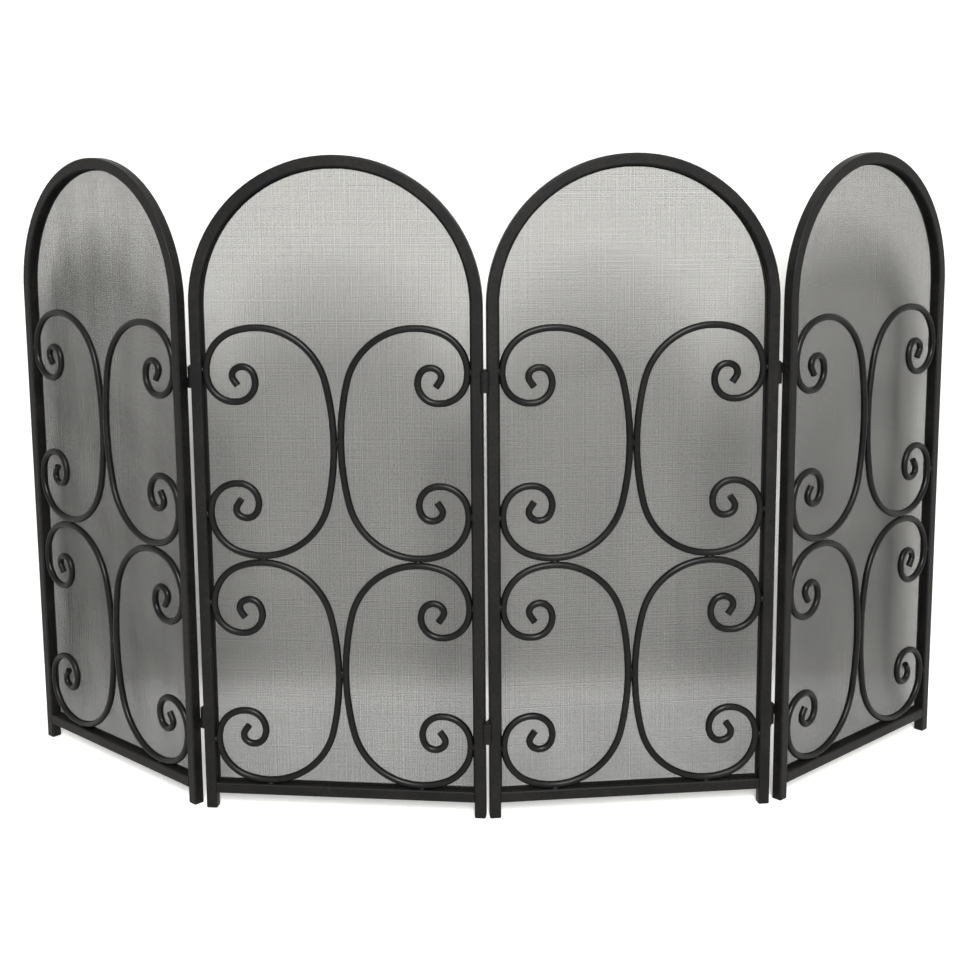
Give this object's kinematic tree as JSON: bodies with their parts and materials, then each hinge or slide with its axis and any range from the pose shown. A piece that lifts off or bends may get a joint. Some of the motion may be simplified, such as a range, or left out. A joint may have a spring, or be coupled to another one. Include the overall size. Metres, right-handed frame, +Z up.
{
  "type": "fireplace screen",
  "caption": "Folding fireplace screen of hinged round-topped black tube frames with fine wire mesh and wrought scrollwork.",
  "frame": {"origin": "on the floor, under the centre of the box of the standing screen", "axes": "+Z up, +X to the right along the screen seen from the room, +Y to the back, towards the fire"},
  "size_m": [1.1682, 0.2838, 0.756],
  "materials": {
    "frame": "satin black stove paint on square steel tube",
    "scrolls": "satin black stove paint on bent round rod",
    "mesh": "black painted fine woven steel wire",
    "edging": "black painted folded sheet",
    "hinges": "black paint over welded steel barrel hinges",
    "foot_plugs": "matt black moulded plugs"
  },
  "bodies": {
    "left_wing": {"left_wing_arched_frame": "frame", "left_wing_bottom_rail": "frame", "left_wing_left_foot_plug": "foot_plugs", "left_wing_right_foot_plug": "foot_plugs", "left_wing_lower_left_scroll": "scrolls", "left_wing_lower_right_scroll": "scrolls", "left_wing_upper_left_scroll": "scrolls", "left_wing_upper_right_scroll": "scrolls", "left_wing_wire_mesh": "mesh", "left_wing_mesh_edging": "edging", "left_top_hinge_left_knuckle": "hinges", "left_top_hinge_pin": "hinges", "left_base_hinge_left_knuckle": "hinges", "left_base_hinge_pin": "hinges"},
    "left_centre": {"left_centre_arched_frame": "frame", "left_centre_bottom_rail": "frame", "left_centre_left_foot_plug": "foot_plugs", "left_centre_right_foot_plug": "foot_plugs", "left_centre_lower_left_scroll": "scrolls", "left_centre_lower_right_scroll": "scrolls", "left_centre_upper_left_scroll": "scrolls", "left_centre_upper_right_scroll": "scrolls", "left_centre_wire_mesh": "mesh", "left_centre_mesh_edging": "edging", "left_top_hinge_right_knuckle": "hinges", "left_base_hinge_right_knuckle": "hinges", "centre_top_hinge_left_knuckle": "hinges", "centre_top_hinge_pin": "hinges", "centre_base_hinge_left_knuckle": "hinges", "centre_base_hinge_pin": "hinges"},
    "right_centre": {"right_centre_arched_frame": "frame", "right_centre_bottom_rail": "frame", "right_centre_left_foot_plug": "foot_plugs", "right_centre_right_foot_plug": "foot_plugs", "right_centre_lower_left_scroll": "scrolls", "right_centre_lower_right_scroll": "scrolls", "right_centre_upper_left_scroll": "scrolls", "right_centre_upper_right_scroll": "scrolls", "right_centre_wire_mesh": "mesh", "right_centre_mesh_edging": "edging", "centre_top_hinge_right_knuckle": "hinges", "centre_base_hinge_right_knuckle": "hinges", "right_top_hinge_left_knuckle": "hinges", "right_top_hinge_pin": "hinges", "right_base_hinge_left_knuckle": "hinges", "right_base_hinge_pin": "hinges"},
    "right_wing": {"right_wing_arched_frame": "frame", "right_wing_bottom_rail": "frame", "right_wing_left_foot_plug": "foot_plugs", "right_wing_right_foot_plug": "foot_plugs", "right_wing_lower_left_scroll": "scrolls", "right_wing_lower_right_scroll": "scrolls", "right_wing_upper_left_scroll": "scrolls", "right_wing_upper_right_scroll": "scrolls", "right_wing_wire_mesh": "mesh", "right_wing_mesh_edging": "edging", "right_top_hinge_right_knuckle": "hinges", "right_base_hinge_right_knuckle": "hinges"}
  },
  "joints": [
    {"name": "left_wing_fold", "type": "hinge", "parent": "left_centre", "child": "left_wing", "pos_m": [-0.33185, -0.08071, 0.307], "axis": [0, 0, -1], "range_deg": [-36.8, 143.2]},
    {"name": "middle_fold", "type": "hinge", "parent": "left_centre", "child": "right_centre", "pos_m": [0, -0.13694, 0.307], "axis": [0, 0, -1], "range_deg": [-2.5, 192.5]},
    {"name": "right_wing_fold", "type": "hinge", "parent": "right_centre", "child": "right_wing", "pos_m": [0.33185, -0.08071, 0.307], "axis": [0, 0, 1], "range_deg": [-36.8, 143.2]}
  ]
}
